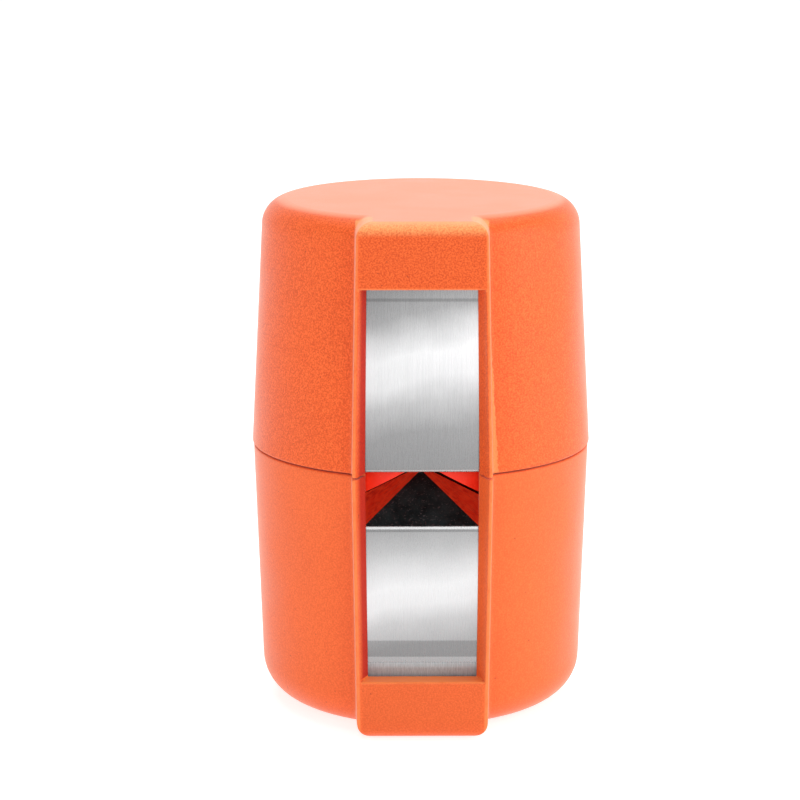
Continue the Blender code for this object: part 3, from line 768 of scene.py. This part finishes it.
def shell(name, body):
    """One half: its body hollowed out, with the plate's slot, the chip window behind it, and
    posts with pilot holes for the screws."""
    upper = name == "upper_shell"
    obj = shell_body(name)
    past_seam = PARTING_Z + (-PAST if upper else PAST)

    def span(end):
        return min(end, past_seam), max(end, past_seam)

    slot, through = span(SLOT_END[name]), span(THROUGH_END[name])
    tools = [turned("hollow", bore_profile(name)),
             box("slot", (-SLOT_HALF, SLOT_FRONT, slot[0]), (SLOT_HALF, SLOT_BACK, slot[1])),
             box("through", (-WINDOW_HALF_PARTING, SLOT_BACK - GAP / 2, through[0]),
                 (WINDOW_HALF_PARTING, -BORE + 3 * PAST, through[1]))]
    boolean(obj, tools)
    if upper:
        base = CAP_BOX[1].z + GAP
        posts = [rod("post", FUNNEL_POST, base, HEIGHT - END_WALL / 2, spot)
                 for spot in FUNNEL_SPOTS]
        pilots = [rod("pilot", SCREW_SHANK + GAP, base - PAST, base + FUNNEL_PILOT_DEEP, spot)
                  for spot in FUNNEL_SPOTS]
    else:
        top = POINT_BOX[0].z - GAP
        posts = [rod("post", POINT_POST, END_WALL / 2, top, spot) for spot in POST_SPOTS]
        pilots = [rod("pilot", SCREW_SHANK + GAP, top - POINT_PILOT_DEEP, top + PAST, spot)
                  for spot in POST_SPOTS]
    boolean(obj, posts, "UNION")
    boolean(obj, pilots)
    dress(obj, body, "orange_plastic", ORANGE, name)


# ---------------------------------------------------------------- shutters

def shutter(node, body, material, ease_low, ease_high, twist, longer):
    """A bowed plate whose ends roll in: ease is how far and over what length. twist turns its
    two ends against each other, and longer is how far it goes past its CAD box's low end."""
    low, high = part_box(node)
    low.z -= longer
    middle, half = (low.z + high.z) / 2, (high.z - low.z) / 2
    bow = high.y - low.y - PLATE_THICK
    across, along = 24, 72
    bm = bmesh.new()
    bmesh.ops.create_grid(bm, x_segments=across, y_segments=along, size=1.0)
    for vertex in bm.verts:
        x, rise = vertex.co.x, vertex.co.y
        y = low.y + bow * rise ** 2
        for (depth, length), gap in ((ease_low, (rise + 1) * half), (ease_high, (1 - rise) * half)):
            if gap < length:
                y += depth * (1 - gap / length) ** 2
        y += twist * x * rise + PLATE_DISH * x ** 2
        vertex.co = (x * high.x, y, middle + rise * half)
    bmesh.ops.recalc_face_normals(bm, faces=bm.faces)
    if sum(face.normal.y for face in bm.faces) > 0:
        bmesh.ops.reverse_faces(bm, faces=bm.faces)
    obj = add_mesh(node + "_fine", mesh_from(bm, node))
    solid = obj.modifiers.new("thickness", "SOLIDIFY")
    solid.thickness = PLATE_THICK
    solid.offset = -1.0
    eased(obj, PLATE_EASE)
    dress(obj, body, "spring_steel", material, node)


# ---------------------------------------------------------------- inside pieces

def radial_rod(radius, near, far, side):
    """A rod at a ring screw's height, from near to far out on the left (-1) or right (1)."""
    tool = rod("radial", radius, near, far)
    turn = Matrix.Rotation(side * QUARTER, 4, "Y")
    tool.data.transform(Matrix.Translation((0.0, 0.0, RING_SCREW_Z)) @ turn)
    return tool


def joining_ring():
    outer, low, high = RING_BOX[1].x, RING_BOX[0].z, RING_BOX[1].z
    groove = (GRIP_BOX[0].z + GRIP_BOX[1].z) / 2
    chamfer = 0.8 * MM
    half_groove = 1.0 * MM
    profile = [(RING_INNER + chamfer / 2, high), (outer - chamfer, high),
               (outer, high - chamfer), (outer, groove + half_groove),
               (GROOVE_RADIUS, groove + half_groove), (GROOVE_RADIUS, groove - half_groove),
               (outer, groove - half_groove), (outer, low), (RING_INNER, low),
               (RING_INNER, high - chamfer / 2)]
    obj = turned("joining_ring_fine", profile, closed=True)
    neck_half, neck_z = NOTCH_NECK
    notch = [(-NOTCH_HALF, low - PAST), (NOTCH_HALF, low - PAST), (NOTCH_HALF, NOTCH_SHOULDER_Z),
             (neck_half, neck_z), (0.0, NOTCH_APEX_Z), (-neck_half, neck_z),
             (-NOTCH_HALF, NOTCH_SHOULDER_Z)]
    tools = [prism("notch", notch, RIB_FRONT, RIB_FRONT + 14 * MM)]
    for side in (-1, 1):
        tools.append(radial_rod(SMALL_SHANK + GAP, RING_INNER - PAST, outer + PAST, side))
        tools.append(radial_rod(SMALL_HEAD + GAP, RING_INNER - PAST,
                                RING_INNER + SMALL_HEAD_TALL + GAP, side))
    boolean(obj, tools)
    eased(obj, 0.15 * MM)
    dress(obj, "lower_half", "red_plastic", BRIGHT_RED, "joining_ring")


def grip_ring():
    low, high = GRIP_BOX
    minor = (high.z - low.z) / 2
    middle = (high.z + low.z) / 2
    major = high.x - minor
    profile = []
    for share in shares(24, 1):
        angle = QUARTER - 2 * math.pi * share
        profile.append((major + minor * math.cos(angle), middle + minor * math.sin(angle)))
    obj = baked(turned("grip_o_ring_fine", profile, closed=True))
    dress(obj, "grip_ring", "o_ring_rubber", RUBBER, "grip_o_ring")


def face_frame(side):
    """A frame at the foot of the point's front (-1) or rear (1) face: X across, Y up it."""
    angle = math.atan2(POINT_BOX[1].z - FLANGE_HIGH, POINT_HALF_Y - RIDGE_HALF_Y)
    placed = Matrix.Translation((0.0, -POINT_HALF_Y, FLANGE_HIGH)) @ Matrix.Rotation(angle, 4, "X")
    return Matrix.Rotation(math.pi, 4, "Z") @ placed if side > 0 else placed


def point_carrier():
    radius, low, top = POINT_BOX[1].x, POINT_BOX[0].z, POINT_BOX[1].z
    chamfer = 0.5 * MM
    obj = turned("point_carrier_fine",
                 [(0.0, FLANGE_HIGH), (radius - chamfer, FLANGE_HIGH),
                  (radius, FLANGE_HIGH - chamfer), (radius, low), (0.0, low)])
    block = box("block", (-POINT_HALF_X, -POINT_HALF_Y, FLANGE_HIGH - PAST),
                (POINT_HALF_X, POINT_HALF_Y, top))
    spread = (top - FLANGE_HIGH + PAST) / (top - FLANGE_HIGH)
    for vertex in block.data.vertices:
        share = 0.0 if vertex.co.z > FLANGE_HIGH else spread
        vertex.co.x *= (RIDGE_HALF_X + (POINT_HALF_X - RIDGE_HALF_X) * share) / POINT_HALF_X
        vertex.co.y *= (RIDGE_HALF_Y + (POINT_HALF_Y - RIDGE_HALF_Y) * share) / POINT_HALF_Y
    boolean(obj, [block], "UNION")
    outside = radius + 3 * PAST
    tools = [turned("rim", [(outside, top), (outside, low - PAST), (radius, low - PAST),
                            (radius, top)], closed=True)]
    for spot in POST_SPOTS:
        tools.append(rod("hole", SCREW_SHANK + GAP, low - PAST, FLANGE_HIGH + PAST, spot))
        tools.append(rod("seat", SCREW_HEAD + GAP, FLANGE_HIGH - SCREW_HEAD_TALL,
                         FLANGE_HIGH + PAST, spot))
    for side in (-1, 1):
        pilot = rod("pilot", BLADE_SHANK + GAP, -5 * MM, PAST, (0.0, POINT_SCREW_UP_SLOPE))
        pilot.data.transform(face_frame(side))
        tools.append(pilot)
    boolean(obj, tools)
    dress(obj, "lower_half", "red_plastic", DARK_RED, "point_carrier")


def cad_piece(node, body, slot, material, ease):
    """A fine copy of a CAD node whose shape is right, with its edges eased."""
    obj = add_mesh(node + "_fine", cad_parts[node].data.copy())
    bm = bmesh.new()
    bm.from_mesh(obj.data)
    bmesh.ops.remove_doubles(bm, verts=bm.verts, dist=0.000001)
    bmesh.ops.dissolve_limit(bm, angle_limit=math.radians(1), verts=bm.verts, edges=bm.edges)
    bm.to_mesh(obj.data)
    bm.free()
    eased(obj, ease)
    dress(obj, body, slot, material, node)


def socket_screw(node, body, head, tall, shank, length, placement):
    """A socket-head screw with a ridged shank, its head seated at z = 0 before the placement.
    The ridges stand for a thread, from the plain neck down to the narrower tip."""
    bend = head * 0.18
    neck, root, tip = length * 0.15, shank * 0.8, shank * 0.6
    pitch = 0.5 * MM
    profile = [(0.0, tall), (head - bend, tall)]
    for share in shares(4, 1):
        angle = QUARTER * share
        profile.append((head - bend + bend * math.sin(angle), tall - bend + bend * math.cos(angle)))
    profile += [(head, 0.0), (shank, 0.0), (shank, -neck)]
    for ridge in range(int(length * 0.75 / pitch)):
        z = -neck - ridge * pitch
        profile += [(root, z - pitch / 2), (shank, z - pitch)]
    profile += [(tip, -length), (0.0, -length)]
    obj = turned(node + "_fine", profile, steps=40)
    socket = rod("socket", min(1.2 * MM, head * 0.55), tall - 0.9 * MM, tall + PAST, steps=6)
    boolean(obj, [socket])
    obj.data.transform(placement)
    dress(obj, body, "screw_steel", ZINC, node)


def point_screws():
    for number, (x, y) in enumerate(POST_SPOTS, start=1):
        seat = Matrix.Translation((x, y, FLANGE_HIGH - SCREW_HEAD_TALL + GAP / 2))
        socket_screw(f"point_screw_{number}", "lower_half", SCREW_HEAD, SCREW_HEAD_TALL,
                     SCREW_SHANK, 12.5 * MM, seat)
    for name, side in (("blade_screw_front", -1), ("blade_screw_rear", 1)):
        lift = Matrix.Translation((0.0, POINT_SCREW_UP_SLOPE, GAP / 2))
        socket_screw(name, "lower_half", BLADE_HEAD, SMALL_HEAD_TALL, BLADE_SHANK, 4.5 * MM,
                     face_frame(side) @ lift)


def ring_screws():
    for name, side in (("ring_screw_left", -1), ("ring_screw_right", 1)):
        seat = RING_INNER + SMALL_HEAD_TALL + GAP / 2
        placement = (Matrix.Translation((side * seat, 0.0, RING_SCREW_Z))
                     @ Matrix.Rotation(-side * QUARTER, 4, "Y"))
        socket_screw(name, "lower_half", SMALL_HEAD, SMALL_HEAD_TALL, SMALL_SHANK, 3.6 * MM,
                     placement)


def funnel_carrier():
    radius, low, high = FUNNEL_BOX[1].x, FUNNEL_BOX[0].z, FUNNEL_BOX[1].z
    throat_z = low + FUNNEL_MOUTH - FUNNEL_THROAT
    chamfer = 0.4 * MM
    profile = [(FUNNEL_THROAT, high), (radius - chamfer, high), (radius, high - chamfer),
               (radius, low), (FUNNEL_MOUTH, low), (FUNNEL_THROAT, throat_z)]
    obj = turned("funnel_carrier_fine", profile, closed=True)
    near, far = FUNNEL_BLADE_RADII
    tools = []
    for quarter in range(4):
        slot = box("slot", (near - GAP, -FUNNEL_BLADE_THICK / 2 - GAP / 2, low - PAST),
                   (far + GAP, FUNNEL_BLADE_THICK / 2 + GAP / 2, high + PAST))
        slot.data.transform(Matrix.Rotation(quarter * QUARTER, 4, "Z"))
        tools.append(slot)
    for spot in FUNNEL_SPOTS:
        tools.append(rod("hole", SCREW_SHANK + GAP, low - PAST, high + PAST, spot))
        tools.append(rod("seat", SCREW_HEAD + GAP, low - PAST, FUNNEL_SCREW_SEAT, spot))
    boolean(obj, tools)
    dress(obj, "upper_half", "red_plastic", BRIGHT_RED, "funnel_carrier")


def funnel_cap():
    radius, low, high = CAP_BOX[1].x, CAP_BOX[0].z, CAP_BOX[1].z
    obj = turned("funnel_cap_fine", [(0.0, high), (radius, high), (radius, low), (0.0, low)])
    boolean(obj, [rod("hole", SCREW_SHANK + GAP, low - PAST, high + PAST, spot)
                  for spot in FUNNEL_SPOTS])
    dress(obj, "upper_half", "red_plastic", BRIGHT_RED, "funnel_cap")


def funnel_screws():
    for number, (x, y) in enumerate(FUNNEL_SPOTS, start=1):
        placement = (Matrix.Translation((x, y, FUNNEL_SCREW_SEAT - GAP / 2))
                     @ Matrix.Rotation(math.pi, 4, "X"))
        socket_screw(f"funnel_screw_{number}", "upper_half", SCREW_HEAD, SCREW_HEAD_TALL,
                     SCREW_SHANK, 12.0 * MM, placement)


# ---------------------------------------------------------------- stage

def stage():
    """A pale floor that glows a little, and a white sky that fades towards the top."""
    floor = box("floor", (-6, -6, -0.02), (6, 6, -0.0002))
    made = Nodes("pale_floor", roughness=0.9)
    made.link(made.ramp(made.noise(3, 2), greys([(0.3, 0.50), (0.7, 0.53)])),
              made.shader.inputs["Base Color"])
    made.shader.inputs["Emission Color"].default_value = (*WHITE, 1.0)
    made.shader.inputs["Emission Strength"].default_value = 0.75
    floor.data.materials.append(made.material)
    world = bpy.data.worlds.new("studio")
    bpy.context.scene.world = world
    world.use_nodes = True
    tree = world.node_tree
    direction = tree.nodes.new("ShaderNodeTexCoord").outputs["Generated"]
    split = tree.nodes.new("ShaderNodeSeparateXYZ")
    tree.links.new(direction, split.inputs[0])
    fade = tree.nodes.new("ShaderNodeMapRange")
    for socket, value in (("From Min", 0.15), ("From Max", 0.9), ("To Min", 1.0), ("To Max", 0.25)):
        fade.inputs[socket].default_value = value
    tree.links.new(split.outputs["Z"], fade.inputs["Value"])
    tree.links.new(fade.outputs["Result"], tree.nodes["Background"].inputs["Strength"])
    tree.nodes["Background"].inputs["Color"].default_value = (*WHITE, 1.0)


def soft_light(name, place, aim, size, power):
    data = bpy.data.lights.new(name, "AREA")
    data.shape = "RECTANGLE"
    data.size, data.size_y = size
    data.energy = power
    light = bpy.data.objects.new(name, data)
    bpy.context.scene.collection.objects.link(light)
    light.location = place
    light.rotation_euler = (Vector(aim) - Vector(place)).to_track_quat("-Z", "Y").to_euler()


def lights():
    middle = (0.0, 0.0, PARTING_Z)
    soft_light("front_key", (0.10, -0.75, 0.42), middle, (0.5, 0.4), 0.9)
    soft_light("left_wall", (-0.55, -0.10, 0.20), middle, (0.4, 0.5), 0.2)
    soft_light("right_wall", (0.50, -0.15, 0.20), middle, (0.4, 0.5), 1.8)
    soft_light("overhead", (0.0, 0.15, 0.75), middle, (0.7, 0.7), 4.6)


def camera():
    """A long lens a little above the barrel, turned by half a degree to the rib's left."""
    distance = 504 * MM
    elevation, pitch, turn = 0.2262, 0.2133, 0.009
    data = bpy.data.cameras.new("camera")
    data.sensor_width = 36.0
    data.lens = 134.0
    data.shift_x = -0.026
    data.clip_start = 0.01
    obj = bpy.data.objects.new("camera", data)
    bpy.context.scene.collection.objects.link(obj)
    away = distance * math.cos(elevation)
    obj.location = (-away * math.sin(turn), -away * math.cos(turn),
                    PARTING_Z + distance * math.sin(elevation))
    obj.rotation_euler = (QUARTER - pitch, 0.0, -turn)
    bpy.context.scene.camera = obj


camera()
stage()
lights()
shell("lower_shell", "lower_half")
shell("upper_shell", "upper_half")
shutter("lower_shutter", "lower_shutter",
        brushed_steel("lower_steel", "lower_shutter", **LOWER_STEEL),
        ease_low=(0.0, 1.0 * MM), ease_high=(0.15 * MM, 0.8 * MM), twist=0.04 * MM,
        longer=0.3 * MM)
shutter("upper_shutter", "upper_shutter",
        brushed_steel("upper_steel", "upper_shutter", **UPPER_STEEL),
        ease_low=(0.30 * MM, 1.0 * MM), ease_high=(0.1 * MM, 1.0 * MM), twist=-0.04 * MM,
        longer=0.22 * MM)
joining_ring()
grip_ring()
ring_screws()
point_carrier()
cad_piece("point_blade_front", "lower_half", "blade_steel", BLACK, BLADE_EASE)
cad_piece("point_blade_rear", "lower_half", "blade_steel", BLACK, BLADE_EASE)
point_screws()
funnel_carrier()
for blade in range(1, 5):
    cad_piece(f"funnel_blade_{blade}", "upper_half", "blade_steel", BLACK, BLADE_EASE)
funnel_cap()
funnel_screws()

bpy.context.scene.view_settings.view_transform = "Standard"
